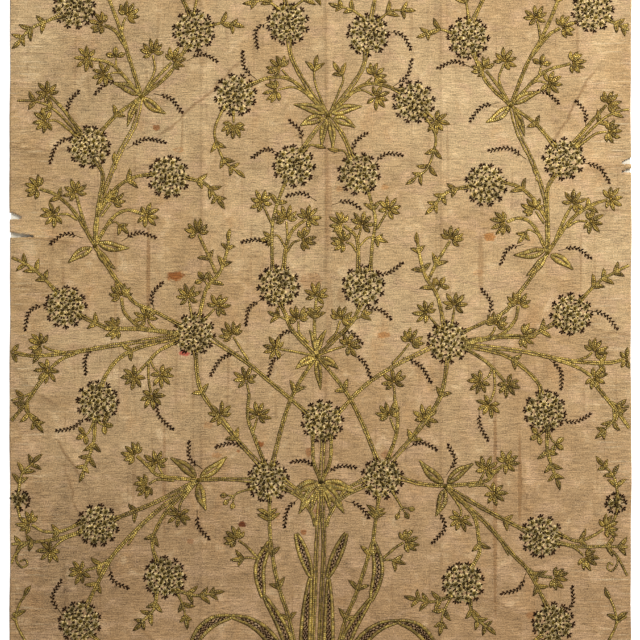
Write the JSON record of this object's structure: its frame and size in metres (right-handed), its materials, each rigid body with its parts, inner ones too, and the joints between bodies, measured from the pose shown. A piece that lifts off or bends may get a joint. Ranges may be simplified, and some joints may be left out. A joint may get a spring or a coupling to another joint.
{
  "type": "embroidered panel",
  "caption": "Flat lined silk panel with a mirrored pattern of flowering branches in raised metal-thread embroidery, creased from storage and torn at its side edges.",
  "frame": {"origin": "middle of the underside, on the surface the panel lies on", "axes": "+Y the way the flowers grow, +X to the right of the face, +Z out of the embroidered face"},
  "size_m": [0.622, 0.86, 0.0054],
  "materials": {
    "silk": "ribbed tan silk with tarnished gilt thread, dark outlines and age stains",
    "lining": "plain off-white cotton, matt"
  },
  "bodies": {
    "root": {"embroidered_silk": "silk", "lining": "lining"}
  },
  "joints": []
}
